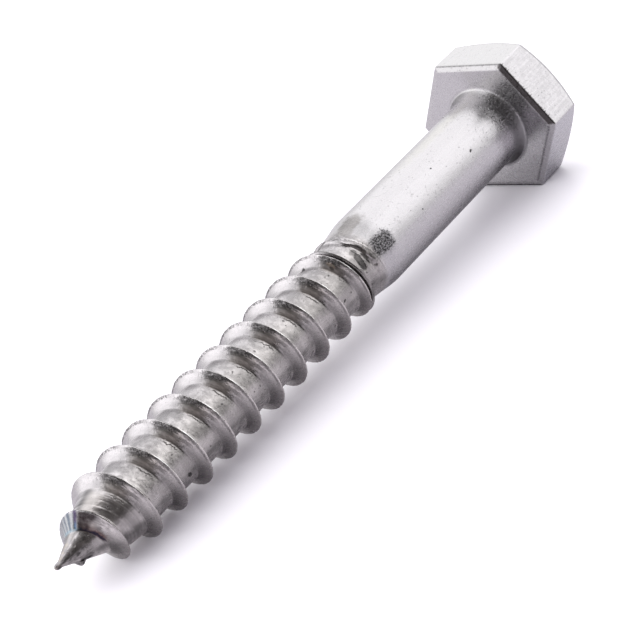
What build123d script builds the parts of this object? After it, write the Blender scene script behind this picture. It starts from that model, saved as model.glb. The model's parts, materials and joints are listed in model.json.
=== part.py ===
from build123d import *
import os
from math import atan2, cos, degrees, radians, sin, sqrt, tan

# A coach screw: hexagon head, plain shank and coarse wood thread, forged and
# rolled from one stainless blank. Sizes are in millimetres, close to an M6 x 50.
#
# The screw is built upright on its own axis, with the bearing face under the
# head at height 0, the head below it and the point above it. It is then laid
# down as it comes to rest, on one flat of the head and one crest of the thread.

# Head
across_flats = 10.0
head_height = 3.7
top_circle = 9.2  # flat circle left on top of the head by the chamfer
top_chamfer_angle = 30.0
bearing_bevel_width = 0.4
bearing_bevel_height = 0.2

# Collar that blends the shank into the bearing face
collar_diameter = 6.5
collar_height = 0.12
collar_edge_width = 0.1
flare_height = 0.85

# Shank and neck
shank_diameter = 5.57
shank_length = 16.3  # bearing face to the start of the neck's taper
neck_taper_length = 2.2
neck_diameter = 4.95
neck_step_length = 0.6

# Thread
screw_length = 50.0  # bearing face to the tip of the point
thread_diameter = 5.9
root_diameter = 4.4
pitch = 2.6
crest_width = 0.12
head_flank_run = 0.42  # axial reach of the flank that faces the head
tip_flank_run = 0.55  # axial reach of the flank that faces the point
runout_start = 17.9  # bearing face to where the thread rises out of the neck
runout_length = 2.4
thread_angle = 82.0  # degrees from +X towards +Y of the crest where it starts to fade
ridge_sink = 0.25  # how far the thread's ridge reaches into the core

# Point, with its lengths measured from the tip
point_angle = 47.0  # full angle of the cone
point_flat = 0.25  # diameter of the blunt tip
shoulder_radius = 8.0  # blends the thread's root into the cone
crest_fade_length = 5.6  # where the crest starts to fade
last_crest_length = 3.6  # where the last crest has its own diameter
last_crest_diameter = 4.9
thread_end_length = 2.1  # where the thread sinks into the cone

thread_radius = thread_diameter / 2
root_radius = root_diameter / 2
ridge_depth = thread_radius - root_radius + ridge_sink
fade_start = screw_length - crest_fade_length


def hexagon_head():
    """Hexagonal prism, chamfered round its top and bevelled at the bearing face."""
    hexagon = RegularPolygon(across_flats / 2, 6, major_radius=False)
    bevel_angle = degrees(atan2(bearing_bevel_width, bearing_bevel_height))
    prism = extrude(Pos(0, 0, -head_height) * hexagon, head_height - bearing_bevel_height)
    bevel = extrude(Pos(0, 0, -bearing_bevel_height) * hexagon, bearing_bevel_height, taper=bevel_angle)

    corner_radius = across_flats / sqrt(3)
    chamfer_drop = (corner_radius - top_circle / 2) * tan(radians(top_chamfer_angle))
    envelope = Polyline(
        (0, -head_height),
        (top_circle / 2, -head_height),
        (corner_radius, chamfer_drop - head_height),
        (corner_radius, 0),
        (0, 0),
        close=True,
    )
    return (prism + bevel) & revolve(Plane.XZ * make_face(envelope), Axis.Z)


def turned_core():
    """Collar, shank, tapered neck, thread root and point, revolved from one outline."""
    collar_rim = (collar_diameter / 2 - collar_edge_width, collar_height)
    flare_end = (shank_diameter / 2, flare_height)
    neck_end = shank_length + neck_taper_length
    cone_start = (root_radius, screw_length - cone_length(root_radius))
    collar = Polyline(
        (0, -bearing_bevel_height),
        (collar_diameter / 2, -bearing_bevel_height),
        (collar_diameter / 2, 0),
        collar_rim,
    )
    flare = TangentArc(flare_end, collar_rim, tangent=(0, -1))
    rest = Polyline(
        flare_end,
        (shank_diameter / 2, shank_length),
        (neck_diameter / 2, neck_end),
        (root_radius, neck_end + neck_step_length),
        cone_start,
        (point_flat / 2, screw_length),
        (0, screw_length),
        (0, -bearing_bevel_height),
    )
    outline = make_face(collar + flare + rest)
    shoulder = outline.vertices().sort_by_distance(cone_start)[0]
    return revolve(Plane.XZ * fillet(shoulder, shoulder_radius), Axis.Z)


def cone_length(radius):
    """Distance from the tip to where the point's cone has a radius."""
    return (radius - point_flat / 2) / tan(radians(point_angle / 2))


def core_radius(height):
    """Radius of the thread's core, the root or the cone, at a height."""
    cone_radius = point_flat / 2 + (screw_length - height) * tan(radians(point_angle / 2))
    return min(root_radius, cone_radius)


def crest_bearing(height):
    """Bearing of the thread's crest in degrees, from +X towards +Y, at a height."""
    return thread_angle + 360 * (height - fade_start) / pitch


def ridge_corners(height, crest_radius, base_radius):
    """Corners (radius, height) of the ridge's section, from its head side to its point side."""
    size = (crest_radius - base_radius) / ridge_depth
    sink_stretch = ridge_depth / (thread_radius - root_radius)
    half_crest = crest_width / 2
    section = [
        (0, -half_crest - head_flank_run * sink_stretch),
        (1, -half_crest),
        (1, half_crest),
        (0, half_crest + tip_flank_run * sink_stretch),
    ]
    return [
        (base_radius + up * (crest_radius - base_radius), height + along * size)
        for up, along in section
    ]


def conical_helix(start, end, bearing, turns):
    """Helix from one (radius, height) to another in a number of turns."""
    rise = end[1] - start[1]
    slope = atan2(end[0] - start[0], rise)
    helix = Edge.make_helix(rise / (turns * cos(slope)), rise, start[0], angle=degrees(slope))
    return Pos(0, 0, start[1]) * Rot(0, 0, bearing) * helix


def ridge_end(corners, bearing):
    """Flat end of a stretch of ridge, in the half plane through the axis at a bearing."""
    spin = Rot(0, 0, bearing)
    return Face(Wire.make_polygon([(spin * Pos(r, 0, h)).position for r, h in corners]))


def ridge(start, end):
    """Stretch of thread ridge between two stations (height, crest radius, base radius)."""
    first, last = ridge_corners(*start), ridge_corners(*end)
    bearings = crest_bearing(start[0]), crest_bearing(end[0])
    turns = (bearings[1] - bearings[0]) / 360
    edges = [conical_helix(a, b, bearings[0], turns) for a, b in zip(first, last)]
    sides = [Face.make_surface_from_curves(a, b) for a, b in zip(edges, edges[1:] + edges[:1])]
    return Solid(Shell([*sides, ridge_end(first, bearings[0]), ridge_end(last, bearings[1])]))


def thread():
    """Rolled wood thread: run-out at the neck, full turns, and a fade into the point."""
    last_crest = screw_length - last_crest_length
    thread_end = screw_length - thread_end_length
    base = root_radius - ridge_sink
    stations = [
        (runout_start, root_radius, base),
        (runout_start + runout_length, thread_radius, base),
        (fade_start, thread_radius, base),
        (last_crest, last_crest_diameter / 2, core_radius(last_crest) - ridge_sink),
        (thread_end, core_radius(thread_end), core_radius(thread_end) - ridge_sink),
    ]
    return [ridge(a, b) for a, b in zip(stations, stations[1:])]


def lay_down(screw):
    """Turn the upright screw onto the head flat and crest it rests on, over the origin."""
    quarters = ((crest_bearing(fade_start) + 90) % 360) / 360
    lowest_crest = fade_start - quarters * pitch + crest_width / 2
    drop = across_flats / 2 - thread_radius
    tilt = atan2(drop, lowest_crest + bearing_bevel_height)
    axis = Vector(-cos(tilt), 0, -sin(tilt))
    lying = Plane(origin=(0, 0, 0), x_dir=(0, -1, 0), z_dir=axis).location * screw
    box = lying.bounding_box()
    return Pos(-box.center().X, -box.center().Y, -box.min.Z) * lying


coach_screw = turned_core() + hexagon_head() + thread()
os.makedirs("parts", exist_ok=True)
export_step(lay_down(coach_screw), "parts/coach_screw.step")
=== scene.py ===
"""A stainless coach screw lying on a white table, dressed for its photograph.

The screw is one closed mesh. It is shaped in its own frame, in millimetres: Z runs
from the bearing face (0) to the tip, and bearings turn from X towards Y. The record's
mounts then say where that frame lies in the part. The studio is in metres. Bearings
are in degrees in the materials and the studio, and in radians in the shapes.
"""

import json
import math

import bpy
import numpy as np
from mathutils import Matrix


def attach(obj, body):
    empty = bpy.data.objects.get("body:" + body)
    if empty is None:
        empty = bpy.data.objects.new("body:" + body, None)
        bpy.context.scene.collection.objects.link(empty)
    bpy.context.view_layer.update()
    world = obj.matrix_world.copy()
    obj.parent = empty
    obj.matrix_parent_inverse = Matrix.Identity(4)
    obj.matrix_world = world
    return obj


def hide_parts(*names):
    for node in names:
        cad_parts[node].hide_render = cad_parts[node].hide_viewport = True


MM = 0.001

# ---- sizes that repeat the CAD source's ----
ACROSS_FLATS = 10.0
HEAD_HEIGHT = 3.7
TOP_CIRCLE = 9.2
TOP_CHAMFER = math.radians(30)
BEVEL_WIDTH = 0.4
BEVEL_HEIGHT = 0.2
COLLAR_RADIUS = 3.25
SHANK_RADIUS = 2.785
SHANK_LENGTH = 16.3
SCREW_LENGTH = 50.0
PITCH = 2.6
THREAD_RADIUS = 2.95
THREAD_BEARING = 82.0  # degrees
FADE_START = 44.4

# ---- finer forms of the head, the shank and the cone ----
BEARING_FACE = -0.02
FLARE_FOOT = -0.016
FLARE_EDGE = 0.05  # from the collar's edge in to where the flare's curve starts
FLARE_HEIGHT = 1.4
FLARE_POWER = 1.85
CORNER_RADIUS = 0.16
TOP_CENTRE = 0.35
STRAIGHT_END = SHANK_LENGTH - 0.3
NECK_FROM = SHANK_LENGTH - 0.15
CONE_SLOPE = 0.43
CONE_END = 49.5
TIP = [(0.205, 49.6), (0.2, 49.72), (0.185, 49.82), (0.15, 49.9), (0.1, 49.955), (0.045, 49.985)]
TIP_HEIGHT = SCREW_LENGTH - 0.005
TIP_LEAN = 0.08
TIP_LEAN_BEARING = math.radians(125)
TIP_LEAN_FROM = 46.0
BURR_BEARING = math.radians(-68)
BURR_SPREAD = 26  # degrees
BURR_HEIGHT = 48.45
BURR_HALF = (0.26, 0.16)  # before its crest and beyond it
BURR_LIFT = 0.3

# ---- mesh density ----
COLUMNS = 180
FLAT_COLUMNS = COLUMNS // 6
CORNER_STEPS = 3
EDGE_HOLD = 0.03  # from a rounding to the ring that keeps its edge
FLARE_ROWS = 16
SHANK_ROWS = 64
NECK_ROWS = 9
CONE_ROWS = 12
THREAD_FROM = 17.3
THREAD_TO = 48.2
THREAD_JOIN = 0.04  # rows closer than this to a plain ring become that ring
TURNS = range(-12, 4)  # from the turn where the fade starts
TURN_ROWS = [
    0.0, 0.04, 0.07, 0.12, 0.19, 0.26, 0.33, 0.4, 0.47, 0.54, 0.6, 0.66, 0.72, 0.84,
    1.0, 1.2, 1.45, 1.7, 1.9, 2.04, 2.13, 2.19, 2.24, 2.29, 2.34, 2.39, 2.45, 2.53, 2.56,
]  # fmt: skip

# ---- how the forming left the thread: stations of (height, radius) ----
CREST = [
    (17.5, 1.9), (17.92, 2.39), (18.0, 2.46), (18.2, 2.475), (18.4, 2.52), (18.9, 2.62),
    (19.4, 2.76), (20.0, 2.87), (20.6, 2.86), (21.4, 2.89), (22.6, 2.94), (30.0, 2.94),
    (44.1, 2.94), (44.7, 2.88), (45.5, 2.49), (45.9, 2.5), (46.6, 2.43),
    (47.0, 2.13), (47.35, 1.8), (47.7, 1.42), (48.1, 0.95), (48.3, 0.7),
]  # fmt: skip
NECK = [(0.0, 2.785), (16.1, 2.785), (16.5, 2.76), (17.3, 2.655), (18.4, 2.5), (19.2, 2.36), (21.0, 2.28)]
ROOT = [
    (16.0, 2.34), (18.2, 2.34), (19.6, 2.29), (22.0, 2.2), (44.2, 2.2), (44.9, 2.15), (45.5, 2.0),
    (46.1, 1.83), (46.6, 1.66), (47.2, 1.42), (47.7, 1.1), (48.2, 0.82),
]  # fmt: skip

# How far the first turn's crest is pushed towards the tip: stations of (height, push).
LIP_LINE = [
    (17.5, 0.8), (17.9, 0.46), (18.02, 0.44), (18.14, 0.32), (18.23, 0.36), (18.3, 0.5),
    (18.4, 0.46), (18.7, 0.13), (19.1, 0),
]  # fmt: skip

# ---- the ridge's section, and the crest heights between which it changes ----
CREST_WIDTH = 0.1
FULL_RISE = 0.74  # a ridge that rises less has shorter flanks
HEAD_RUN = 0.44
HEAD_HOLLOW = 0.25
TIP_RUN = 0.3
TIP_RUN_GAIN = 0.28
TIP_HOLLOW = 0.38
TIP_RUN_GROWS = (18.5, 19.2)
NECK_ENDS = (17.55, 17.95)
NECK_ENDS_IN_LIP = (18.3, 18.7)
CONE_STARTS = (44.85, 45.6)
SEAM_OPENS = (19.6, 20.0)
SEAM_CLOSES = (21.0, 21.5)

# ---- the seam's fold and pinch, as distance before the crest and half width ----
FOLD = (0.41, 0.08)
PINCH = (0.21, 0.09)
PINCH_DEPTH = 0.75


# ======== curves ========


def ease(x, low, high):
    """0 below low, 1 above high, and smooth between."""
    t = np.clip((np.asarray(x, float) - low) / (high - low), 0, 1)
    return t * t * (3 - 2 * t)


def curve(stations, x):
    """Smooth curve through (x, y) stations, without overshoot."""
    px, py = np.array(stations, float).T
    slope = np.diff(py) / np.diff(px)
    bend = np.zeros(len(px))
    same = slope[:-1] * slope[1:] > 0
    bend[1:-1][same] = 2 * slope[:-1][same] * slope[1:][same] / (slope[:-1][same] + slope[1:][same])
    x = np.clip(x, px[0], px[-1])
    i = np.clip(np.searchsorted(px, x) - 1, 0, len(px) - 2)
    h = px[i + 1] - px[i]
    t = (x - px[i]) / h
    return (
        py[i] * (1 + 2 * t) * (1 - t) ** 2
        + py[i + 1] * t * t * (3 - 2 * t)
        + h * t * (1 - t) * ((1 - t) * bend[i] - t * bend[i + 1])
    )


def ripple(bearing, height, seed, waves, per_mm, count=24):
    """Seamless random ripple from -1 to 1, with up to so many waves a turn and so many a millimetre."""
    rng = np.random.default_rng(seed)
    total = np.zeros(np.broadcast(bearing, height).shape)
    for _ in range(count):
        round_axis = rng.integers(0, waves + 1)
        along_axis = rng.normal(0, per_mm) * 2 * math.pi
        total += np.sin(round_axis * bearing + along_axis * height + rng.uniform(0, 2 * math.pi))
    return total / math.sqrt(count / 2) / 2


def hump(x, middle, half):
    """Bell curve, 1 in the middle."""
    return np.exp(-(((x - middle) / half) ** 2))


# ======== thread ========


def crest_height(bearing):
    """Height of the crest at a bearing in radians, on the turn where the fade starts."""
    return FADE_START + PITCH * (bearing - math.radians(THREAD_BEARING)) / (2 * math.pi)


def flank(distance, reach, hollow):
    """Height share of a hollow flank, a distance from the middle of its crest (0 past its reach)."""
    t = np.clip((distance - CREST_WIDTH / 2) / (reach - CREST_WIDTH / 2), 0, 1)
    return (1 - t) * (1 - hollow * t)


def thread_radius_at(bearing, height):
    """Radius of the threaded surface, and the share of the ridge there: 1 at the crest, and below 0
    on the flanks that face the head."""
    turn = (height - crest_height(bearing)) / PITCH
    crest = height - (turn - np.floor(turn)) * PITCH
    next_crest = crest + PITCH
    beyond, before = height - crest, next_crest - height

    root = curve(ROOT, height)
    cone = CONE_SLOPE * (SCREW_LENGTH - height)
    core = root + ease(crest, *CONE_STARTS) * (np.minimum(cone, root) - root)
    push = curve(LIP_LINE, crest)
    neck = np.where(beyond < push, 1 - ease(crest, *NECK_ENDS_IN_LIP), 1 - ease(crest, *NECK_ENDS))
    core = core + neck * (curve(NECK, height) - core)

    def ridge(line, distance, hollow, run):
        """Rise over the core and share of the ridge, a distance from the crest at a height."""
        waves = 0.012 * ripple(bearing, line, seed=3, waves=60, per_mm=2.0)
        nicks = 0.02 * np.maximum(ripple(bearing, line, seed=5, waves=90, per_mm=3.0) - 0.45, 0)
        rise = np.maximum(curve(CREST, line) - core, 0)
        share = flank(distance, CREST_WIDTH / 2 + run * np.clip(rise / FULL_RISE, 0.15, 1.0), hollow)
        worn = np.minimum(waves - nicks, THREAD_RADIUS - curve(CREST, line)) * np.clip(share, 0, 1) ** 7
        return rise * share + worn, share * ease(rise, 0.02, 0.2)

    # Short of a crest that is pushed towards the tip, the section is a head flank.
    past = beyond - push
    tip_run = TIP_RUN + TIP_RUN_GAIN * ease(crest, *TIP_RUN_GROWS)
    tip_side, tip_share = ridge(crest, np.maximum(past, 0), TIP_HOLLOW, tip_run)
    short_side, short_share = ridge(crest, np.maximum(-past, 0), HEAD_HOLLOW, HEAD_RUN)
    tip_side = np.where(past < 0, short_side, tip_side)
    tip_share = np.where(past < 0, short_share, tip_share)
    head_side, head_share = ridge(next_crest, before + curve(LIP_LINE, next_crest), HEAD_HOLLOW, HEAD_RUN)

    # The first full turn is not rolled shut: a pinch beside a fold leaves a seam in its head side.
    seam = ease(next_crest, *SEAM_OPENS) * (1 - ease(next_crest, *SEAM_CLOSES))
    rise = np.clip(curve(CREST, next_crest) - core, 0, 1)
    folded = hump(before, *FOLD) * rise
    pinched = head_side * (1 - PINCH_DEPTH * hump(before, *PINCH))
    head_side = head_side + seam * (np.maximum(pinched, folded) - head_side)
    radius = core + np.maximum(tip_side, head_side)
    return radius, np.where(tip_side >= head_side, tip_share, -head_share)


def threaded_grid(first_ring, last_ring, start):
    """Rows that follow the helix between two plain rings, as bearings, radii, heights, ridge shares and
    faces. Rows that reach or pass a ring become that ring."""
    bearings = np.arange(COLUMNS) * 2 * math.pi / COLUMNS
    offsets = np.array([(k * PITCH) + row for k in TURNS for row in TURN_ROWS])
    heights = crest_height(bearings)[:, None] + offsets[None, :]
    low, high = heights <= THREAD_FROM + THREAD_JOIN, heights >= THREAD_TO - THREAD_JOIN
    inside = ~(low | high)
    index = np.empty(heights.shape, int)
    index[inside] = start + np.arange(inside.sum())
    index[low] = np.broadcast_to(np.array(first_ring)[:, None], heights.shape)[low]
    index[high] = np.broadcast_to(np.array(last_ring)[:, None], heights.shape)[high]
    rows = len(TURN_ROWS)
    seam = np.concatenate([index[0, rows:], np.full(rows, last_ring[0])])
    wrapped = np.vstack([index, seam])
    quads = np.stack([wrapped[:-1, :-1], wrapped[1:, :-1], wrapped[1:, 1:], wrapped[:-1, 1:]], axis=-1)
    bearing = np.broadcast_to(bearings[:, None], heights.shape)[inside]
    height = heights[inside]
    radius, share = thread_radius_at(bearing, height)
    return bearing, radius, height, share, quads.reshape(-1, 4)


# ======== head ========


def hexagon_ring(inset, height):
    """Ring of points on the hexagon, an inset from its flats, with rounded corners."""
    points = []
    middle = (ACROSS_FLATS / 2 - inset - CORNER_RADIUS) / math.cos(math.pi / 6)
    for side in range(6):
        here, after = side * math.pi / 3, (side + 1) * math.pi / 3
        for step in range(FLAT_COLUMNS):
            turn = here + math.pi / 6
            if step <= CORNER_STEPS:
                turn = here + step * math.pi / 6 / CORNER_STEPS
            elif step >= FLAT_COLUMNS - CORNER_STEPS:
                turn = after - (FLAT_COLUMNS - step) * math.pi / 6 / CORNER_STEPS
            t = min(max((step - CORNER_STEPS) / (FLAT_COLUMNS - 2 * CORNER_STEPS), 0), 1)
            x = middle * ((1 - t) * math.cos(here) + t * math.cos(after)) + CORNER_RADIUS * math.cos(turn)
            y = middle * ((1 - t) * math.sin(here) + t * math.sin(after)) + CORNER_RADIUS * math.sin(turn)
            points.append((x, y, height))
    return np.array(points)


def circle_ring(radius, height, bearings):
    """Ring of points on a circle, at bearings in radians."""
    return np.stack([radius * np.cos(bearings), radius * np.sin(bearings), np.full(COLUMNS, height)], axis=1)


def rounded(rings, cuts, spans):
    """Rings of a polyline of rings, each corner rounded and each span divided, with the run (1 at corner 1).
    A cut is how far before and after its corner the rounding reaches."""
    made = [(0.0, rings[0])]

    def divide(run, ring, count):
        run_before, before = made[-1]
        for k in range(1, count):
            made.append((run_before + (run - run_before) * k / count, before + (ring - before) * k / count))

    for i, cut in enumerate(cuts, start=1):
        here, back, ahead = rings[i], rings[i - 1], rings[i + 1]
        length_back, length_ahead = np.linalg.norm(back - here, axis=1), np.linalg.norm(ahead - here, axis=1)
        to_back, to_ahead = (back - here) / length_back[:, None], (ahead - here) / length_ahead[:, None]
        hold = cut + EDGE_HOLD
        divide(i - hold / length_back, here + to_back * hold, spans[i - 1])
        made.append((i - hold / length_back, here + to_back * hold))
        leave, meet = here + to_back * cut, here + to_ahead * cut
        for t in (0, 0.25, 0.5, 0.75, 1):
            point = (1 - t) ** 2 * leave + 2 * t * (1 - t) * here + t * t * meet
            made.append((i + cut * (2 * t - 1) / (length_back if t < 0.5 else length_ahead), point))
        made.append((i + hold / length_ahead, here + to_ahead * hold))
    last = len(rings) - 1
    divide(last, rings[-1], spans[-1] + 1)
    made.append((last, rings[-1]))
    return made


def head_rings():
    """Rings out over the bearing face, flats and chamfer and in over the top, each with its run: 3 to 4 on
    the bevel, 4 to 5 on the flats, 5 to 6 on the chamfer and 6 to 7 on the top."""
    bearings = np.arange(COLUMNS) * 2 * math.pi / COLUMNS
    outline = hexagon_ring(0, 0)
    reach = np.hypot(outline[:, 0], outline[:, 1])
    outline_bearings = np.arctan2(outline[:, 1], outline[:, 0])
    chamfer = outline.copy()
    chamfer[:, 2] = (reach - TOP_CIRCLE / 2) * math.tan(TOP_CHAMFER) - HEAD_HEIGHT
    rings = [
        circle_ring(COLLAR_RADIUS, FLARE_FOOT, bearings),
        circle_ring(COLLAR_RADIUS + 0.1, -0.019, bearings),
        circle_ring(COLLAR_RADIUS + 0.3, BEARING_FACE, bearings),
        hexagon_ring(BEVEL_WIDTH, BEARING_FACE),
        hexagon_ring(0, -BEVEL_HEIGHT),
        chamfer,
        circle_ring(TOP_CIRCLE / 2, -HEAD_HEIGHT, outline_bearings),
        circle_ring(TOP_CENTRE, -HEAD_HEIGHT, outline_bearings),
    ]
    cuts = [0.05, 0.08, 0.05, 0.07, 0.1, 0.14]
    spans = [1, 1, 8, 1, 8, 1, 6]
    return rounded(rings, cuts, spans)


# ======== whole screw ========


def shank_rings():
    """Rings of (radius, height) from the flare's foot to where the thread's rows start. The flare is
    a quarter of a superellipse."""
    rings = [(COLLAR_RADIUS, FLARE_FOOT)]
    foot = COLLAR_RADIUS - FLARE_EDGE
    power = 2 / FLARE_POWER
    for i in range(FLARE_ROWS + 1):
        turn = i * math.pi / (2 * FLARE_ROWS)
        radius = foot - (foot - SHANK_RADIUS) * math.sin(turn) ** power
        rings.append((radius, FLARE_HEIGHT * (1 - math.cos(turn) ** power)))
    straight = STRAIGHT_END - FLARE_HEIGHT
    rings += [(SHANK_RADIUS, FLARE_HEIGHT + straight * (k + 1) / SHANK_ROWS) for k in range(SHANK_ROWS)]
    neck_heights = np.linspace(NECK_FROM, THREAD_FROM, NECK_ROWS)
    return rings + [(float(curve(NECK, h)), h) for h in neck_heights]


def tip_rings():
    """Rings of (radius, height) from where the thread's rows end, over the cone to its blunt tip."""
    return [(CONE_SLOPE * (SCREW_LENGTH - h), h) for h in np.linspace(THREAD_TO, CONE_END, CONE_ROWS)] + TIP


def screw_mesh():
    """Vertices in the screw's own frame, faces, and each vertex's ridge share and run over the head."""
    uniform = np.arange(COLUMNS) * 2 * math.pi / COLUMNS
    points, faces, share, runs = [], [], [], []

    def add_ring(ring, run=0.0):
        start = sum(len(p) for p in points)
        points.append(ring)
        share.append(np.zeros(len(ring)))
        runs.append(np.broadcast_to(run, len(ring)))
        return list(range(start, start + len(ring)))

    def skin(a, b):
        faces.extend(zip(a, a[1:] + a[:1], b[1:] + b[:1], b))

    def cap(ring, point, tipwards, run=0.0):
        centre = add_ring(np.array([point]), run)[0]
        for here, after in zip(ring, ring[1:] + ring[:1]):
            faces.append((here, after, centre) if tipwards else (after, here, centre))

    shank = [add_ring(circle_ring(r, h, uniform)) for r, h in shank_rings()]
    for a, b in zip(shank, shank[1:]):
        skin(a, b)
    tip = [add_ring(circle_ring(r, h, uniform)) for r, h in tip_rings()]
    for a, b in zip(tip, tip[1:]):
        skin(a, b)
    cap(tip[-1], (0, 0, TIP_HEIGHT), tipwards=True)
    head = head_rings()
    ring_before = shank[0]
    for run, ring in head[1:]:
        ring_now = add_ring(ring, run)
        skin(ring_now, ring_before)
        ring_before = ring_now
    top_run, _ = head[-1]
    cap(ring_before, (0, 0, -HEAD_HEIGHT), tipwards=False, run=top_run)

    start = sum(len(p) for p in points)
    bearing, radius, height, ridge, quads = threaded_grid(shank[-1], tip[0], start)
    points.append(np.stack([radius * np.cos(bearing), radius * np.sin(bearing), height], axis=1))
    share.append(ridge)
    runs.append(np.zeros(len(ridge)))
    for quad in quads.tolist():
        corners = tuple(dict.fromkeys(quad))
        if len(corners) > 2:
            faces.append(corners)
    points = bend_tip(raise_burr(np.concatenate(points)))
    return points, faces, np.concatenate(share), np.concatenate(runs)


def raise_burr(points):
    """Small burr that the pinching left on the lower side of the cone."""
    bearing, height = np.arctan2(points[:, 1], points[:, 0]), points[:, 2]
    away = np.degrees(np.angle(np.exp(1j * (bearing - BURR_BEARING))))
    half = np.where(height < BURR_HEIGHT, *BURR_HALF)
    lift = BURR_LIFT * np.exp(-((away / BURR_SPREAD) ** 4)) * hump(height, BURR_HEIGHT, half)
    points[:, 0] += lift * np.cos(bearing)
    points[:, 1] += lift * np.sin(bearing)
    return points


def bend_tip(points):
    """The cone leans a little, as the point was pinched off."""
    lean = TIP_LEAN * np.clip((points[:, 2] - TIP_LEAN_FROM) / (SCREW_LENGTH - TIP_LEAN_FROM), 0, 1) ** 2
    points[:, 0] += lean * math.cos(TIP_LEAN_BEARING)
    points[:, 1] += lean * math.sin(TIP_LEAN_BEARING)
    return points


def axes_matrix(x, y, z, origin):
    """4 by 4 matrix with those axes and that origin as its columns."""
    m = np.eye(4)
    m[:3] = np.stack([x, y, z, origin], axis=1)
    return m


def link_object(name, data):
    """New object in the scene, with that mesh, lamp or camera."""
    obj = bpy.data.objects.new(name, data)
    bpy.context.scene.collection.objects.link(obj)
    return obj


def write_values(mesh, name, values):
    """A value for each vertex of the mesh, which its material reads by that name."""
    layer = mesh.attributes.new(name, "FLOAT", "POINT")
    layer.data.foreach_set("value", np.asarray(values, np.float32).ravel())


def screw_frame(record):
    """Matrix from the screw's own frame in millimetres to the part frame in metres."""
    mounts = {m["name"]: m for m in record["mounts"]}
    along = np.array(mounts["shank"]["axis"], float)
    along /= np.linalg.norm(along)
    across = np.array([0.0, -1.0, 0.0])
    upward = np.cross(along, across)
    origin = np.array(mounts["head_top"]["pos_m"], float) + along * HEAD_HEIGHT * MM
    return axes_matrix(across * MM, upward * MM, along * MM, origin)


# Stretches of the screw with a material each, as name and heights along the screw.
STRETCHES = [
    ("head", -5.0, 4.0),
    ("shank", 4.0, 15.0),
    ("neck", 15.0, 22.6),
    ("thread", 22.6, 42.6),
    ("point", 42.6, 51.0),
]


def make_screw(record):
    """The dressed screw, in the part frame."""
    points, faces, ridge, run = screw_mesh()
    m = screw_frame(record)
    placed = points @ m[:3, :3].T + m[:3, 3]
    mesh = bpy.data.meshes.new("coach_screw_steel")
    mesh.from_pydata(placed.tolist(), [], faces)
    mesh.polygons.foreach_set("use_smooth", [True] * len(mesh.polygons))
    write_values(mesh, "ridge", ridge)
    write_values(mesh, "run", run)
    layer = mesh.attributes.new("place", "FLOAT_VECTOR", "POINT")
    layer.data.foreach_set("vector", np.asarray(points, np.float32).ravel())
    for name, low, high in STRETCHES:
        mesh.materials.append(steel(name, low, high))
    first_corners = points[[face[0] for face in faces], 2]
    ends = [high for _, _, high in STRETCHES[:-1]]
    mesh.polygons.foreach_set("material_index", np.searchsorted(ends, first_corners).astype(np.int32))
    mesh.update()
    return link_object("coach_screw_steel", mesh)


# ======== materials ========

WHITE = (1.0, 1.0, 1.0, 1)
SHANK_STEEL = (0.585, 0.568, 0.587, 1)
THREAD_STEEL = (0.594, 0.568, 0.588, 1)
WARM_THREAD_STEEL = (0.6, 0.568, 0.562, 1)
# painted light on the flat to the right and painted shade on the top flat
RIGHT_FLAT_PAINTED_LIGHT = (0.59, 0.578, 0.62, 1)
TOP_FLAT_PAINTED_SHADE = (0.5, 0.495, 0.5, 1)
# near black: a painted dark reflection over the torn bevel edge
TORN_EDGE_DARK_REFLECTION = (0.1, 0.09, 0.092, 1)
FILM = (0.5, 0.49, 0.44, 1)
SMUDGE = (0.275, 0.26, 0.258, 1)
# rust, pale enough to paint a highlight on its rim
RUST_AND_PAINTED_HIGHLIGHT = (0.95, 0.82, 0.72, 1)
RUST_HOLE = (0.06, 0.05, 0.045, 1)
# brown at the foot of the tip flank, lighter than the steel as painted light
BROWN_AND_PAINTED_LIGHT = (0.78, 0.69, 0.63, 1)
HEATED_FLANK = (0.32, 0.35, 0.38, 1)
BURNT_BROWN = (0.13, 0.07, 0.065, 1)
# near black: heat tint and a painted dark reflection on the last flank
DARK_REFLECTION_AND_HEAT_TINT = (0.045, 0.03, 0.034, 1)
RIB_VIOLET = (0.08, 0.055, 0.13, 1)
RIB_BLUE = (0.12, 0.19, 0.32, 1)
RIB_GREY = (0.1, 0.13, 0.18, 1)
LINE_DARK = (0.026, 0.026, 0.046, 1)
LINE_BLUE = (0.22, 0.34, 0.42, 1)
# painted highlight in the groove behind the point
CREAM_PAINTED_HIGHLIGHT = (0.86, 0.8, 0.76, 1)
# straw tint on the cone, light enough to paint a highlight
STRAW_TINT_AND_PAINTED_HIGHLIGHT = (0.85, 0.73, 0.56, 1)
TABLE_GREY = (0.5, 0.49, 0.5, 1)
SKY_GREY = (0.595, 0.55, 0.655, 1)


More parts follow.
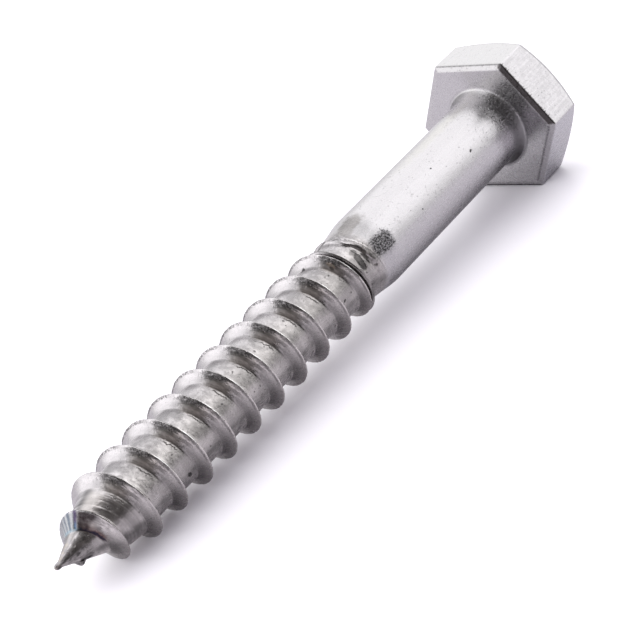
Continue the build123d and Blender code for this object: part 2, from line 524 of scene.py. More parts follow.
class Shader:
    """Shader maths in short: every argument is a socket or a plain value."""

    def __init__(self, tree):
        self.tree = tree

    def node(self, kind, **settings):
        node = self.tree.nodes.new(kind)
        for key, value in settings.items():
            setattr(node, key, value)
        return node

    def put(self, socket, value):
        if isinstance(value, bpy.types.NodeSocket):
            self.tree.links.new(value, socket)
        else:
            socket.default_value = value

    def result(self, kind, values, **settings):
        """First output of a new node, with those values in its first inputs."""
        node = self.node(kind, **settings)
        for socket, value in zip(node.inputs, values):
            self.put(socket, value)
        return node.outputs[0]

    def math(self, operation, *values, clamp=False):
        return self.result("ShaderNodeMath", values, operation=operation, use_clamp=clamp)

    def add(self, first, *others):
        for other in others:
            first = self.math("ADD", first, other)
        return first

    def times(self, first, *others):
        for other in others:
            first = self.math("MULTIPLY", first, other)
        return first

    def minus(self, x, y):
        return self.math("SUBTRACT", x, y)

    def less(self, x):
        """1 - x."""
        return self.minus(1.0, x)

    def most(self, first, *others):
        for other in others:
            first = self.math("MAXIMUM", first, other)
        return first

    def least(self, x, y):
        return self.math("MINIMUM", x, y)

    def swing(self, x, size):
        """A noise made to swing evenly about nothing, by half that size each way."""
        return self.math("MULTIPLY_ADD", x, size, -size / 2)

    def ease(self, x, low, high, start=0.0, end=1.0):
        """Smooth step of x from low to high, between start and end."""
        values = (x, low, high, start, end)
        return self.result("ShaderNodeMapRange", values, interpolation_type="SMOOTHSTEP")

    def fade(self, x, low, high):
        """1 below low, 0 above high, and smooth between."""
        return self.ease(x, low, high, 1.0, 0.0)

    def absolute(self, x):
        return self.math("ABSOLUTE", x)

    def band(self, x, low, high, soft):
        """1 where x is between low and high, with soft edges."""
        rising = self.ease(x, low - soft, low + soft)
        return self.times(rising, self.fade(x, high - soft, high + soft))

    def tint(self, share, a, b):
        """Colour a, turned into b by that share."""
        node = self.node("ShaderNodeMix", data_type="RGBA")
        self.put(node.inputs[0], share)
        self.put(node.inputs[6], a)
        self.put(node.inputs[7], b)
        return node.outputs[2]

    def vector(self, *xyz):
        return self.result("ShaderNodeCombineXYZ", xyz)

    def noise(self, vector, scale, detail=2.0, roughness=0.5, distortion=0.0):
        """Cloudy noise from 0 to 1, mostly near a half."""
        node = self.node("ShaderNodeTexNoise")
        names = ("Vector", "Scale", "Detail", "Roughness", "Distortion")
        for name, value in zip(names, (vector, scale, detail, roughness, distortion)):
            self.put(node.inputs[name], value)
        return node.outputs[0]

    def cells(self, vector, scale):
        """Distance to the nearest of scattered points, and a random number for each."""
        node = self.node("ShaderNodeTexVoronoi")
        self.put(node.inputs["Vector"], vector)
        self.put(node.inputs["Scale"], scale)
        split = self.node("ShaderNodeSeparateColor")
        self.put(split.inputs[0], node.outputs["Color"])
        return node.outputs["Distance"], split.outputs[0]

    def attribute(self, name):
        return self.node("ShaderNodeAttribute", attribute_name=name)


def new_material(name):
    """Material, and shader maths on its nodes."""
    material = bpy.data.materials.new(name)
    material.use_nodes = True
    return material, Shader(material.node_tree)


class Screw:
    """Where a shaded point is on one stretch of the screw, and the noises its marks share: bearing, height,
    distance beyond the last crest, share of the ridge and run over the head."""

    def __init__(self, s, low, high):
        self.s, self.low, self.high = s, low, high
        self.place = s.attribute("place").outputs["Vector"]
        split = s.node("ShaderNodeSeparateXYZ")
        s.put(split.inputs[0], self.place)
        self.x, self.y, self.height = split.outputs
        self.bearing = s.math("DEGREES", s.math("ARCTAN2", self.y, self.x))
        start = THREAD_BEARING / 360 - FADE_START / PITCH
        turn = s.add(s.times(self.height, 1 / PITCH), s.times(self.bearing, -1 / 360), start)
        self.beyond = s.times(s.math("FRACT", turn), PITCH)
        self.ridge = s.attribute("ridge").outputs["Fac"]
        self.run = s.attribute("run").outputs["Fac"]
        self.grain = s.noise(self.place, 9.0, 3.0, 0.6)
        self.mottle = s.noise(self.place, 2.6, 4.0, 0.6)
        self.cloud = s.noise(self.place, 0.8, 3.0, 0.5)
        self.threaded = s.ease(self.height, 17.5, 18.2)

    def spans(self, low, high):
        """True if this stretch reaches into those heights."""
        return self.low < high and low < self.high

    def sector(self, low, high, soft):
        """1 between two bearings, with soft edges."""
        return self.s.band(self.bearing, low, high, soft)

    def shade(self, low, high, soft, strength):
        """A sector of that strength."""
        return self.s.times(self.sector(low, high, soft), strength)

    def shades(self, *parts):
        """Sum of sectors, each given as its bearings, softness and strength."""
        return self.s.add(*(self.shade(*part) for part in parts))

    def brushed(self):
        """Noise drawn out along the screw, as on the flats."""
        s = self.s
        return s.noise(s.vector(self.x, self.y, s.times(self.height, 0.05)), 7.5, 3.0, 0.6)

    def pebble(self):
        """Lumpy noise of the coarse patches."""
        return self.s.noise(self.place, 5.0, 3.0, 0.65, 0.4)

    def patch(self, bearing, height, across, along, turned=0.0, ragged=0.5, soft=0.2, warp=None, power=2.0):
        """Mark on the outer surface at a bearing and height, with half sizes in mm and a ragged outline.
        A higher power gives it squarer corners."""
        s, b, t = self.s, math.radians(bearing), math.radians(turned)
        side = s.add(s.times(self.x, -math.sin(b)), s.times(self.y, math.cos(b)))
        lift = s.minus(self.height, height)
        a = s.add(s.times(side, math.cos(t) / across), s.times(lift, math.sin(t) / across))
        c = s.add(s.times(side, -math.sin(t) / along), s.times(lift, math.cos(t) / along))
        squared = s.add(*(s.math("POWER", s.absolute(q), power) for q in (a, c)))
        far = s.math("POWER", squared, 1 / power)
        far = s.add(far, s.swing(self.mottle if warp is None else warp, ragged * 2))
        towards = s.add(s.times(self.x, math.cos(b)), s.times(self.y, math.sin(b)))
        front = s.ease(towards, 0.0, 0.3)
        return s.times(s.fade(far, 1 - soft, 1 + soft), front)


class Coat:
    """Shade, roughness, relief in mm and then colour of the steel, gathered mark by mark."""

    def __init__(self, s):
        self.s = s
        self.shade, self.rough, self.height, self.colour = 1.0, 0.27, 0.0, None

    def tone(self, *factors):
        self.shade = self.s.times(self.shade, *factors)

    def vary(self, *factors):
        """Tone of 1 and the product of the factors."""
        self.tone(self.s.add(1.0, self.s.times(*factors)))

    def darken(self, *factors):
        self.tone(self.s.less(self.s.times(*factors)))

    def roughen(self, *shares):
        self.rough = self.s.add(self.rough, *shares)

    def lift(self, *heights):
        self.height = self.s.add(self.height, *heights)

    def paint(self, colour, *shares):
        """Turns the colour so far into another, by the product of the shares."""
        self.colour = self.s.tint(self.s.times(*shares), self.colour, colour)


def tumbled_finish(s, w, coat):
    """Satin skin all over: fine pits, soft dents and hairlines."""
    distance, pick = s.cells(w.place, 4.5)
    crowded = s.ease(w.cloud, 0.4, 0.65, 0.9, 0.66)
    speck = s.times(s.fade(distance, 0.1, 0.28), s.ease(s.minus(pick, crowded), 0.0, 0.06))
    lines = s.noise(s.vector(w.x, w.y, s.times(w.height, 0.09)), 7.0, 2.0, 0.5)
    scratch = s.noise(s.vector(s.add(w.x, w.y), s.add(w.height, s.times(w.y, 0.6)), w.x), 0.9, 2.0, 0.4, 0.6)
    hair = s.times(s.fade(s.absolute(s.add(scratch, -0.52)), 0.0, 0.012), s.ease(w.mottle, 0.5, 0.62))
    keen = s.ease(w.height, 0.5, 9.0, 0.25, 1.0)
    coat.tone(s.add(
        1.02,
        s.swing(w.mottle, 0.14),
        s.times(s.swing(w.grain, 0.1), keen),
        s.times(speck, -0.2),
        s.times(hair, -0.2),
    ))  # fmt: skip
    coat.roughen(s.swing(w.mottle, 0.2), s.swing(lines, 0.12), s.times(speck, 0.1))
    coat.lift(s.times(w.grain, keen, 0.003), s.times(w.mottle, 0.009), s.times(w.cloud, 0.02))
    coat.lift(s.times(lines, 0.003), s.times(speck, -0.008), s.times(hair, -0.005))


def head_marks(s, w, coat):
    """Brushed flats, painted shade and light on the bearing face, and painted shade along the edges."""
    on_head = s.ease(w.run, 0.5, 1.0)
    brushed = w.brushed()
    flats = s.times(on_head, s.ease(w.run, 3.9, 4.1), s.fade(w.run, 4.95, 5.05))
    flats = s.times(flats, s.add(0.2, w.shade(0, 60, 2, 0.8)))
    streaks = s.add(s.swing(brushed, 0.42), s.times(s.add(s.ease(w.mottle, 0.38, 0.62), -0.4), 0.12))
    coat.vary(flats, streaks)
    coat.lift(s.times(flats, brushed, 0.006))
    # Painted shade over much of the bearing face and painted light on a part of it, set by bearing.
    under = s.times(on_head, s.ease(w.run, 3.0, 2.9))
    coat.darken(under, w.shades((0, 100, 14, 0.13), (0, 32, 8, 0.13), (-34, -6, 6, -0.14)))
    uneven = s.ease(w.grain, 0.35, 0.6, 0.5, 1.0)
    # Painted shade: dark lines along the edges of the flats, the bevel and the bearing face, darkest on the
    # bevel of the flat that rests on the table.
    lines = s.add(
        s.times(w.sector(60.5, 119, 1), s.band(w.run, 3.8, 4.03, 0.06), uneven, 0.6),
        s.times(w.sector(-59, 0, 1), s.band(w.run, 2.95, 3.2, 0.08), uneven, 0.55),
        s.times(w.sector(-59, 0, 1), s.band(w.run, 3.2, 4.0, 0.05), 0.1),
        s.times(w.sector(-120, -60, 1), s.band(w.run, 3.6, 4.03, 0.1), 0.75),
        s.times(s.band(w.run, 4.95, 5.08, 0.02), 0.4),
    )
    coat.darken(s.least(s.times(lines, on_head), 1.0))


def torn_edge_dark_reflection(s, w):
    """The torn edge over the bevel of the flat that faces the lens, painted near black as a dark reflection.
    """
    teeth = s.times(s.ease(w.brushed(), 0.5, 0.7), s.ease(w.run, 3.95, 4.0), 0.07)
    torn = s.times(w.sector(1, 59.5, 1), s.band(s.minus(w.run, teeth), 3.1, 4.025, 0.03))
    return s.most(torn, s.times(w.sector(59.5, 61.5, 1), s.band(w.run, 3.25, 4.0, 0.1)))


def flare_marks(s, w, coat):
    """The flare under the head: painted shade at both sides, and a coarse patch painted dark as a dark
    reflection.
    """
    pebble = w.pebble()
    coarse = w.patch(37, 0.5, 1.5, 0.6, ragged=0.9, soft=0.18, warp=pebble)
    low = s.times(s.ease(w.run, 1.1, 0.75), s.ease(w.height, 1.5, 0.7), s.ease(w.height, 0.0, 0.1, 0.3, 1.0))
    # Painted shade on both sides of the flare, low down by the bearing face.
    shaded = w.shades((-85, 26, 10, 0.54), (-85, -34, 10, 0.16), (106, 150, 10, 0.36))
    # The coarse patch is painted dark as a dark reflection.
    dark = s.most(s.times(coarse, s.ease(pebble, 0.4, 0.6, 0.56, 0.38)), s.times(low, shaded))
    coat.darken(dark)
    coat.roughen(s.times(dark, 0.1))
    crinkled = w.patch(33, 1.5, 1.3, 0.5, ragged=0.8, soft=0.4, warp=pebble)
    coat.lift(s.times(s.most(coarse, s.times(crinkled, 0.7)), s.swing(pebble, 0.11)))


def gripped_marks(s, w, coat):
    """Coarse patch where the shank starts to taper, painted dark as a dark reflection."""
    pebble = w.pebble()
    fine = s.noise(s.vector(w.x, w.y, s.times(w.height, 0.7)), 12.0, 3.0, 0.6, 0.2)
    gripped = w.patch(28, 17.02, 0.58, 0.84, turned=-4, ragged=0.9, soft=0.2, warp=fine, power=5.0)
    # Painted dark reflection over the coarse patch.
    dark = s.times(gripped, s.ease(fine, 0.44, 0.6, 0.96, 0.32), s.ease(w.bearing, 44, 32, 0.8, 1.0))
    coat.darken(dark)
    coat.roughen(s.times(dark, 0.1))
    coat.lift(s.times(gripped, s.add(s.swing(pebble, 0.1), s.times(fine, 0.06))))


def root_marks(s, w, coat, root):
    """Painted shade and light round the root by bearing, painted highlights on its lumps, laps folded in by
    the rolling, and pits.
    """
    wide = s.noise(s.vector(s.times(w.x, 1.2), s.times(w.y, 1.2), s.times(w.height, 0.35)), 2.2, 2.0, 0.5)
    lumps = s.noise(w.place, 3.0, 1.5, 0.5)
    # Painted shade and painted light by bearing, painted highlights on the lumps, and a cloudy mottle.
    tone = s.add(
        w.shade(-24, 108, 9, -0.27),
        s.times(s.ease(lumps, 0.46, 0.62), w.sector(36, 82, 16), 0.18),
        s.times(s.ease(w.cloud, 0.4, 0.62, -0.12, 0.12), w.sector(-40, 110, 12)),
        w.shade(-32, -10, 5, -0.24), w.shade(0, 15, 6, 0.06), w.shade(20, 34, 6, -0.08),
        w.shade(62, 84, 8, -0.08), w.shade(110, 180, 8, 0.2),
    )  # fmt: skip
    coat.vary(root, tone)
    wander = s.add(w.beyond, s.swing(wide, -0.5), s.swing(w.grain, 0.12))
    lap = s.times(root, s.band(wander, 0.8, 0.85, 0.03), w.sector(32, 56, 5), s.ease(w.cloud, 0.36, 0.46))
    distance, pick = s.cells(w.place, 2.1)
    pits = s.times(root, s.fade(distance, 0.08, 0.17), s.ease(pick, 0.6, 0.66), w.sector(-40, 60, 12))
    coat.lift(s.times(root, lumps, 0.02), s.times(lap, -0.018), s.times(pits, -0.025))
    coat.darken(s.least(s.add(s.times(lap, 0.55), s.times(pits, 0.55)), 0.92))


def flank_marks(s, w, coat, tall, on_flank):
    """Flanks brushed round the axis, with painted shade and light by bearing and ridge height, and painted
    glints near the crest.
    """
    brushed = s.noise(s.vector(s.times(w.x, 0.25), s.times(w.y, 0.25), s.times(w.beyond, 1.6)), 4.0, 2.0, 0.7)
    brushed = s.ease(brushed, 0.38, 0.62)
    brushing = s.times(on_flank, s.add(0.1, w.shade(18, 78, 10, 0.9)))
    coat.vary(brushing, s.swing(brushed, 0.8))
    coat.lift(s.times(brushing, s.add(s.times(brushed, 0.008), s.times(w.mottle, 0.01))))
    # Painted shade and painted light by bearing, low and high on the flank.
    low = w.shades((-55, 38, 8, -0.42), (44, 62, 6, 0.32), (72, 92, 6, -0.14))
    high = w.shades((48, 78, 5, -0.5), (6, 45, 7, 0.14), (86, 116, 8, 0.09))
    tone = s.add(
        s.times(s.ease(tall, 0.8, 0.25), low),
        s.times(s.ease(tall, 0.22, 0.6), high),
        s.times(w.sector(-75, -8, 12), s.ease(tall, 0.3, 0.7, -0.16, -0.28)),
        w.shade(124, 180, 8, -0.13),
    )
    coat.vary(on_flank, tone)
    speckled = s.times(on_flank, w.sector(50, 86, 8), s.ease(tall, 0.35, 0.8), s.ease(w.height, 20.0, 21.0))
    distance, pick = s.cells(w.place, 7.0)
    # Raised specks near the crest, painted bright as glints.
    specks_and_painted_glints = s.times(speckled, s.fade(distance, 0.1, 0.4), s.ease(pick, 0.5, 0.7))
    coat.lift(s.times(speckled, w.grain, 0.006), s.times(specks_and_painted_glints, 0.035))
    coat.vary(specks_and_painted_glints, 0.6)


def crest_marks(s, w, coat):
    """Frayed crests with dark frays, a painted highlight along the crest and its teeth, and painted shade
    just inside it.
    """
    edge = s.least(w.beyond, s.minus(PITCH, w.beyond))
    crest = s.fade(s.add(edge, s.swing(w.grain, 0.24)), 0.03, 0.09)
    teeth = s.times(s.fade(s.add(w.beyond, s.swing(w.grain, -0.6)), 0.1, 0.16), w.sector(50, 84, 8))
    coat.lift(s.times(teeth, w.threaded, 0.02))
    # Dark frays, painted shade just inside the crest, and a painted highlight along the crest and on its
    # teeth.
    worn = s.add(
        s.times(crest, s.ease(w.grain, 0.42, 0.58), w.sector(98, 200, 8), 0.6),
        s.times(s.band(s.add(w.beyond, s.swing(w.grain, 0.1)), 0.06, 0.13, 0.03), w.sector(-6, 80, 8), 0.5),
        s.times(s.band(w.beyond, 0.05, 0.14, 0.03), s.ease(w.grain, 0.42, 0.54), w.sector(96, 200, 8), 0.7),
        s.times(s.fade(s.add(edge, s.swing(w.grain, 0.1)), 0.02, 0.06), w.sector(-60, 92, 10), -0.35),
        s.times(teeth, -0.6),
    )
    fresh = s.ease(w.height, 42.6, 44.8, 1.0, 0.15)
    coat.darken(s.least(s.times(worn, w.threaded, fresh), 0.92))


def thread_marks(s, w, coat):
    """Marks of the root, the flanks and the crests, and painted shade along the foot of the tip flank."""
    tall = s.absolute(w.ridge)
    on_flank = s.times(w.threaded, s.ease(tall, 0.02, 0.1))
    root_marks(s, w, coat, s.minus(w.threaded, on_flank))
    flank_marks(s, w, coat, tall, on_flank)
    crest_marks(s, w, coat)
    # Painted shade along the foot of the tip flank.
    base = s.times(w.threaded, s.band(w.beyond, 0.6, 0.68, 0.05), w.sector(0, 70, 15))
    coat.darken(base, 0.25)


def neck_marks(s, w, coat):
    """Dents with painted shade in them, folds and rings where the first thread was rolled into the neck,
    painted shade under the lip, and the seam's dark line.
    """
    fold = s.noise(s.vector(s.times(w.x, 0.8), s.times(w.y, 0.8), s.times(w.height, 1.6)), 2.0, 3.0, 0.6, 1.2)
    first = s.times(s.band(w.height, 17.9, 20.6, 0.3), s.less(s.ease(s.absolute(w.ridge), 0.1, 0.4)))
    leaf = w.patch(30, 19.22, 0.66, 0.25, turned=-8, ragged=0.25, soft=0.16)
    stroke = w.patch(28, 18.7, 0.46, 0.07, turned=2, ragged=0.3, soft=0.2)
    oval = w.patch(49, 19.12, 0.24, 0.27, ragged=0.3, soft=0.25)
    dents = s.most(leaf, stroke, s.times(oval, 0.55))
    # Painted shade under the lip of the first turn.
    lip_painted_shade = s.add(w.height, s.ease(w.bearing, 50, 74, -18.5, -18.8))
    lip_painted_shade = s.times(s.band(lip_painted_shade, -0.05, 0.06, 0.03), w.sector(50, 66, 5))
    rings = s.times(w.sector(86, 175, 8), s.band(w.height, 17.8, 19.4, 0.2), s.add(
        s.band(w.beyond, 0.04, 0.09, 0.02), s.band(w.beyond, 0.24, 0.29, 0.02)
    ))  # fmt: skip
    folds = s.times(first, fold, s.less(w.sector(30, 75, 8)), 0.05)
    coat.lift(folds, s.times(dents, -0.03), s.times(rings, -0.03))
    # Painted shade in the dents and under the lip, and the darkened rings.
    coat.darken(s.least(s.add(s.times(dents, 0.72), s.times(rings, 0.55), s.times(lip_painted_shade, 0.18)), 0.9))
    before = s.minus(PITCH, w.beyond)
    seam = s.times(s.band(before, 0.09, 0.35, 0.04), s.band(w.height, 19.4, 21.4, 0.2))
    coat.darken(seam, s.ease(w.bearing, 75, 40, 0.34, 0.62))


def single_marks(s, w, coat):
    """Pits and short cracks that stand alone, each at (bearing, height) with half sizes and a turn."""
    marks = [
        (29, 5.47, 0.07, 0.13, 20),
        (107, 21.85, 0.17, 0.2, 0),
        (1, 22.1, 0.06, 0.13, 30),
        (-19, 39.7, 0.22, 0.14, 40),
        (52, 9.2, 0.05, 0.07, 0),
        (20, 12.4, 0.05, 0.06, 0),
    ]
    reach = 0.4
    for bearing, height, across, along, turned in marks:
        if w.spans(height - reach, height + reach):
            mark = w.patch(bearing, height, across, along, turned, ragged=0.3)
            coat.darken(mark, 0.85)
            coat.lift(s.times(mark, -0.03))


def point_marks(s, w, coat):
    """The turned groove behind the point and what the pinching did to the point, each with painted shade and
    highlights by bearing.
    """
    low_ridge = s.ease(s.absolute(w.ridge), 0.1, 0.02)
    groove = s.times(s.ease(w.height, 42.8, 45.0), low_ridge, s.ease(w.height, 47.6, 47.2))
    turned = s.noise(s.vector(s.times(w.x, 0.08), s.times(w.y, 0.08), s.times(w.beyond, 0.95)), 3.4, 1.0, 0.5)
    # Painted highlight and painted shade across the groove, set by bearing.
    coat.vary(groove, s.add(
        s.swing(turned, 1.3), 0.16,
        w.shade(54, 88, 8, 0.66), w.shade(96, 170, 8, -0.4), w.shade(-42, -18, 6, -0.36),
    ))  # fmt: skip
    coat.lift(s.times(groove, s.ease(turned, 0.35, 0.65), 0.018))

    cone = s.times(s.ease(w.height, 47.5, 47.9), low_ridge)
    rough_skin = s.noise(s.vector(w.x, w.y, s.times(w.height, 0.55)), 3.0, 2.5, 0.55)
    # Painted shade and painted highlights over the cone, set by bearing.
    coat.vary(cone, s.add(
        s.ease(rough_skin, 0.35, 0.65, -0.15, 0.15),
        w.shade(-75, -36, 8, -0.8), w.shade(14, 52, 12, -0.16), w.shade(-10, 18, 8, -0.28),
        w.shade(108, 134, 8, -0.42), w.shade(134, 180, 8, -0.25),
        w.shade(50, 77, 7, 1.0), w.shade(84, 104, 6, 0.3),
        s.times(s.ease(rough_skin, 0.4, 0.58, -0.3, 0.12), w.sector(-70, 55, 12)),
    ))  # fmt: skip
    coat.lift(s.times(cone, rough_skin, 0.02))
    coat.roughen(s.times(groove, 0.05), s.times(cone, 0.04))


def ribs(s, w, last_flank):
    """Small ribs that the pinching left across the last flank."""
    radius = s.math("SQRT", s.add(s.times(w.x, w.x), s.times(w.y, w.y)))
    lean = s.add(w.bearing, s.times(s.minus(1.75, radius), 2.5), s.swing(w.mottle, 7))
    found = 0.0
    for bearing, half, strength in ((86, 3.8, 1.0), (103, 3.4, 0.85), (116, 2.6, 0.65), (127, 2.2, 0.5)):
        away = s.absolute(s.add(lean, -bearing))
        found = s.most(found, s.ease(away, half * 0.2, half * 1.9, strength, 0.0))
    return s.times(last_flank, w.sector(76, 132, 6), found)


def head_paint(s, w, coat):
    """Painted light on the flat to the right, painted shade on the top flat, and the torn edge painted near
    black.
    """
    # Painted light on the flat to the right, painted shade on the top flat.
    coat.paint(RIGHT_FLAT_PAINTED_LIGHT, w.sector(-59.5, -0.5, 0.5), s.band(w.run, 4.0, 5.0, 0.03), 0.8)
    coat.paint(TOP_FLAT_PAINTED_SHADE, w.sector(60.5, 119.5, 0.5), s.band(w.run, 4.0, 5.0, 0.03), 0.6)
    # The torn edge, painted near black as a dark reflection.
    coat.paint(TORN_EDGE_DARK_REFLECTION, torn_edge_dark_reflection(s, w), 0.95)


def neck_paint(s, w, coat):
    """A grey smudge where the shank tapers, and a speck of rust in the first root, its rim painted pale as a
    highlight.
    """
    smudge = s.most(
        w.patch(86, 17.1, 0.66, 1.15, turned=-5, ragged=0.5, soft=0.35, power=2.6),
        s.times(w.patch(81, 17.75, 0.42, 0.5, ragged=0.5, soft=0.4), 0.9),
    )
    coat.paint(SMUDGE, smudge, s.ease(w.grain, 0.35, 0.65, 0.95, 0.75))
    # Rust, its rim painted pale as a highlight.
    coat.paint(RUST_AND_PAINTED_HIGHLIGHT, w.patch(59.5, 21.15, 0.34, 0.08, turned=4, ragged=0.3), 0.9)
    coat.paint(RUST_HOLE, w.patch(56, 21.23, 0.18, 0.06, ragged=0.3), 0.95)


def heat_paint(s, w, coat, last_flank, ribbed):
    """Blue, violet and brown of the heat that the pinching put into the last ridge, a near-black painted dark
    reflection over part of its flank, a painted highlight in the groove, and a straw tint on the cone beyond
    it, lightened there as a painted highlight."""
    heated = s.times(last_flank, w.sector(34, 170, 10), s.ease(w.ridge, 0.98, 0.88))
    share = s.add(w.ridge, s.swing(w.mottle, 0.3))
    off_cone = s.times(s.ease(w.ridge, 0.0, 0.03), s.ease(w.height, 46.3, 46.6))
    coat.paint(HEATED_FLANK, heated, w.sector(84, 170, 8), 0.6)
    coat.paint(BURNT_BROWN, s.ease(share, 0.4, 0.12), off_cone, w.sector(0, 72, 12), 0.85)
    uneven = s.ease(w.mottle, 0.35, 0.6, 1.0, 0.86)
    # Near black over part of the last flank: heat tint and a painted dark reflection.
    coat.paint(DARK_REFLECTION_AND_HEAT_TINT, heated, w.sector(47, 81, 7), uneven, s.ease(w.bearing, 58, 70, 0.86, 1.0), 0.95)
    violet = s.tint(s.ease(w.ridge, 0.5, 0.2), RIB_VIOLET, RIB_BLUE)
    rib = s.tint(s.ease(w.bearing, 99, 93), RIB_GREY, violet)
    coat.paint(rib, ribbed, 0.9)
    line = s.times(s.band(share, 0.0, 0.12, 0.05), off_cone, w.sector(-4, 130, 8))
    line_colour = s.tint(s.ease(w.bearing, 66, 92), LINE_DARK, LINE_BLUE)
    coat.paint(line_colour, line, s.ease(w.bearing, 66, 92, 0.93, 0.5))
    # Painted highlight in the groove behind the point.
    ahead = s.band(w.height, 45.2, 47.2, 0.3)
    coat.paint(CREAM_PAINTED_HIGHLIGHT, ahead, w.sector(58, 94, 10), s.ease(w.ridge, 0.1, 0.02), 0.4)
    # Straw tint on the cone, lightened as a painted highlight.
    at_point = s.ease(w.height, 47.7, 48.2)
    coat.paint(STRAW_TINT_AND_PAINTED_HIGHLIGHT, at_point, w.sector(78, 112, 10), s.ease(w.mottle, 0.4, 0.6), 0.3)


def steel(name, low, high):
    """Satin stainless steel, tumbled after rolling, with the marks that forming and handling left on one
    stretch of the screw. No joint shows between stretches, as every mark goes by the place on the screw."""
    material, s = new_material("satin_stainless_" + name)
    w = Screw(s, low, high)
    coat = Coat(s)
    tumbled_finish(s, w, coat)
    on_head, on_neck, on_point = w.spans(-5, 3), w.spans(16, 21), w.spans(44, 50)
    has_thread = w.spans(18, 50)
    if on_head:
        head_marks(s, w, coat)
        flare_marks(s, w, coat)
        # Painted shade on one side of the shank next to the head.
        coat.darken(s.band(w.height, 1.2, 2.6, 0.7), w.sector(-75, -22, 10), 0.45)
    if w.spans(0, 18):
        # Painted shade along the plain shank, set by bearing.
        plain = s.band(w.height, 1.0, 17.5, 0.4)
        shaded = w.shades((-66, -16, 8, 0.13), (-58, -30, 8, 0.24), (62, 112, 10, 0.05))
        coat.darken(plain, shaded)
    if on_neck:
        gripped_marks(s, w, coat)
        neck_marks(s, w, coat)
    if has_thread:
        thread_marks(s, w, coat)
    single_marks(s, w, coat)
    if on_point:
        point_marks(s, w, coat)
        last_flank = s.times(s.band(w.height, 46.3, 48.0, 0.2), s.ease(s.absolute(w.ridge), 0.02, 0.12))
        ribbed = ribs(s, w, last_flank)
        coat.lift(s.times(ribbed, -0.01))
        # Painted shade on one side of the last flank.
        coat.darken(last_flank, w.sector(-70, -12, 12), 0.3)

    base = s.node("ShaderNodeVectorMath", operation="SCALE")
    rolled = s.tint(s.ease(w.bearing, 30, 95), WARM_THREAD_STEEL, THREAD_STEEL)
    s.put(base.inputs[0], s.tint(w.threaded, SHANK_STEEL, rolled))
    s.put(base.inputs["Scale"], coat.shade)
    coat.colour = base.outputs[0]
    if w.spans(0, 11):
        coat.paint(FILM, w.patch(92, 5.5, 0.45, 4.5, ragged=0.8, soft=0.7), 0.35)
    if on_head:
        head_paint(s, w, coat)
    if on_neck:
        neck_paint(s, w, coat)
    if has_thread:
        # Brown at the foot of the tip flank, painted lighter than the steel as painted light.
        foot = s.band(w.beyond, 0.3, 0.66, 0.15)
        brown = s.times(w.threaded, foot, w.sector(40, 70, 12), s.ease(w.height, 18.5, 22.5))
        coat.paint(BROWN_AND_PAINTED_LIGHT, brown, 0.5)
        coat.roughen(s.times(brown, 0.1))
    if on_point:
        heat_paint(s, w, coat, last_flank, ribbed)

    bump = s.node("ShaderNodeBump")
    bump.inputs["Strength"].default_value = 1.0
    bump.inputs["Distance"].default_value = MM
    s.put(bump.inputs["Height"], coat.height)
    shader = s.tree.nodes["Principled BSDF"]
    shader.inputs["Metallic"].default_value = 1.0
    s.put(shader.inputs["Base Color"], coat.colour)
    s.put(shader.inputs["Roughness"], s.most(coat.rough, 0.12))
    s.put(shader.inputs["Normal"], bump.outputs[0])
    return material


def seen_directly(s, mirrored):
    """1 for camera rays, and a share of that for mirrored and refracted ones."""
    path = s.node("ShaderNodeLightPath")
    others = s.math("ADD", path.outputs["Is Glossy Ray"], path.outputs["Is Transmission Ray"], clamp=True)
    return s.math("MULTIPLY_ADD", others, mirrored, path.outputs["Is Camera Ray"], clamp=True)


def table_white():
    """Matt white table top, which keeps the screw's shadow."""
    material, s = new_material("white_table")
    shader = s.tree.nodes["Principled BSDF"]
    shader.inputs["Roughness"].default_value = 0.42
    shader.inputs["Specular IOR Level"].default_value = 1.0
    s.put(shader.inputs["Base Color"], s.tint(seen_directly(s, 0.1), TABLE_GREY, WHITE))
    return material


def glowing(name, colour):
    """Panel surface of that colour, as bright as the glow written on its mesh."""
    material, s = new_material(name)
    s.tree.nodes.remove(s.tree.nodes["Principled BSDF"])
    emit = s.node("ShaderNodeEmission")
    s.put(emit.inputs["Color"], colour)
    s.put(emit.inputs["Strength"], s.attribute("glow").outputs["Fac"])
    s.put(s.tree.nodes["Material Output"].inputs["Surface"], emit.outputs[0])
    return material


# ======== studio ========

TENT_RADIUS = 0.5
WARM_WHITE = (1.08, 1.0, 1.0, 1)
EVEN_SIDEWAYS = [(-180, 1), (180, 1)]
EVEN_UPWARDS = [(-90, 1), (90, 1)]


def camera():
    """Long lens, from the tip's side and a little above, rolled as the photograph is."""
    right = np.array([0.56345, -0.76323, -0.31624])
    up = np.array([0.52547, 0.03570, 0.85008])
    back = np.cross(right, up)
    up = np.cross(back, right)
    data = bpy.data.cameras.new("camera")
    data.lens, data.sensor_width = 126.34, 36.0
    data.clip_start, data.clip_end = 0.005, 50.0
    obj = link_object("camera", data)
    axes = [axis / np.linalg.norm(axis) for axis in (right, up, back)]
    obj.matrix_world = Matrix(axes_matrix(*axes, (-0.0923, -0.0935, 0.06436)).tolist())
    bpy.context.scene.camera = obj


def around(azimuth, elevation, distance):
    """Point round the screw: azimuth 0 is beyond it from the camera, 90 to its right."""
    forward, right = np.array([0.7028, 0.7114, 0.0]), np.array([0.7114, -0.7028, 0.0])
    a, e = math.radians(azimuth), math.radians(elevation)
    outward = math.cos(a) * forward + math.sin(a) * right
    return distance * (math.cos(e) * outward + math.sin(e) * np.array([0, 0, 1.0]))


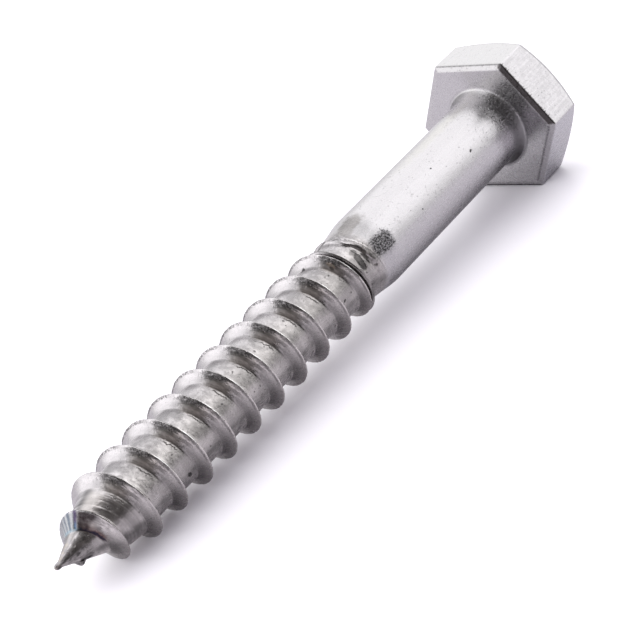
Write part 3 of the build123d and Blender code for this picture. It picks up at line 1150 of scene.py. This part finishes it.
def panel(name, azimuths, elevations, level, colour=WHITE, sideways=EVEN_SIDEWAYS, upwards=EVEN_UPWARDS):
    """Part of a light tent round the screw: a curved panel that only reflections see, with its level
    multiplied by curves over azimuth and elevation."""
    steps = 24
    row = steps + 1
    a, e = np.linspace(*azimuths, row), np.linspace(*elevations, row)
    points = [tuple(around(x, y, TENT_RADIUS)) for y in e for x in a]
    corners = [j * row + i for j in range(steps) for i in range(steps)]
    faces = [(c, c + 1, c + row + 1, c + row) for c in corners]
    mesh = bpy.data.meshes.new(name)
    mesh.from_pydata(points, [], faces)
    across, upward = curve(sideways, a), curve(upwards, e)
    write_values(mesh, "glow", level * upward[:, None] * across[None, :])
    mesh.materials.append(glowing(name, colour))
    obj = link_object(name, mesh)
    obj.visible_camera = False
    obj.visible_diffuse = False
    obj.visible_shadow = False


def softbox(name, azimuth, elevation, size, power):
    """Square lamp that lights the table and throws the screw's shadow."""
    data = bpy.data.lights.new(name, "AREA")
    data.shape, data.size, data.size_y = "RECTANGLE", size, size
    data.energy = power
    place = around(azimuth, elevation, TENT_RADIUS)
    back = place / np.linalg.norm(place)
    side = np.cross([0, 0, 1.0], back)
    side /= np.linalg.norm(side)
    obj = link_object(name, data)
    obj.matrix_world = Matrix(axes_matrix(side, np.cross(back, side), back, place).tolist())
    obj.visible_glossy = False


def studio():
    """White table, a light tent that the steel mirrors, two lamps and a pale backdrop."""
    floor = bpy.data.meshes.new("floor")
    floor.from_pydata([(-3, -3, 0), (3, -3, 0), (3, 3, 0), (-3, 3, 0)], [], [(0, 1, 2, 3)])
    floor.materials.append(table_white())
    link_object("floor", floor)

    panel(
        "box_left", (-134, -60), (4, 52), 1.5,
        sideways=[(-134, 0.04), (-128, 0.1), (-121, 0.4), (-112, 0.88), (-104, 1), (-60, 1)],
    )  # fmt: skip
    panel(
        "box_back_right", (-4, 106), (2, 60), 1.6,
        sideways=[(-4, 1), (92, 1), (106, 0.63)],
        upwards=[(2, 0.63), (12, 0.78), (22, 0.96), (30, 1), (60, 1)],
    )  # fmt: skip
    panel(
        "flag_left_behind", (-180, -133.5), (-1, 62), 0.07, WARM_WHITE,
        upwards=[(-1, 7), (3, 4), (9, 1), (62, 1)],
    )  # fmt: skip
    panel("flag_right_behind", (106, 180), (-1, 62), 0.1, WARM_WHITE)
    panel("flag_overhead", (100, 240), (62, 90), 0.12, WARM_WHITE)
    softbox("lamp_left", -115, 46, size=1.2, power=5.8)
    softbox("lamp_beyond", 20, 50, size=0.8, power=1.4)

    world = bpy.data.worlds.new("studio")
    bpy.context.scene.world = world
    world.use_nodes = True
    s = Shader(world.node_tree)
    background = s.tree.nodes["Background"]
    s.put(background.inputs["Color"], s.tint(seen_directly(s, 1.0), SKY_GREY, WHITE))
    background.inputs["Strength"].default_value = 1.0


# ======== scene ========

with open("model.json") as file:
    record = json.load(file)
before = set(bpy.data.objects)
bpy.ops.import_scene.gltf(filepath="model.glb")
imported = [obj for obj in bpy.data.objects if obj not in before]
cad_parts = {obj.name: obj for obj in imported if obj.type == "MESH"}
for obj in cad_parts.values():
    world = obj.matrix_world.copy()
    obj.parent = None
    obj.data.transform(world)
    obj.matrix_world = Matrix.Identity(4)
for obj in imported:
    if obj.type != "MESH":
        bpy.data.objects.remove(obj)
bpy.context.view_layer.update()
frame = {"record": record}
bpy.context.scene.view_settings.view_transform = "Standard"

screw = make_screw(frame["record"])
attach(screw, "root")
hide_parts("coach_screw")

studio()
camera()
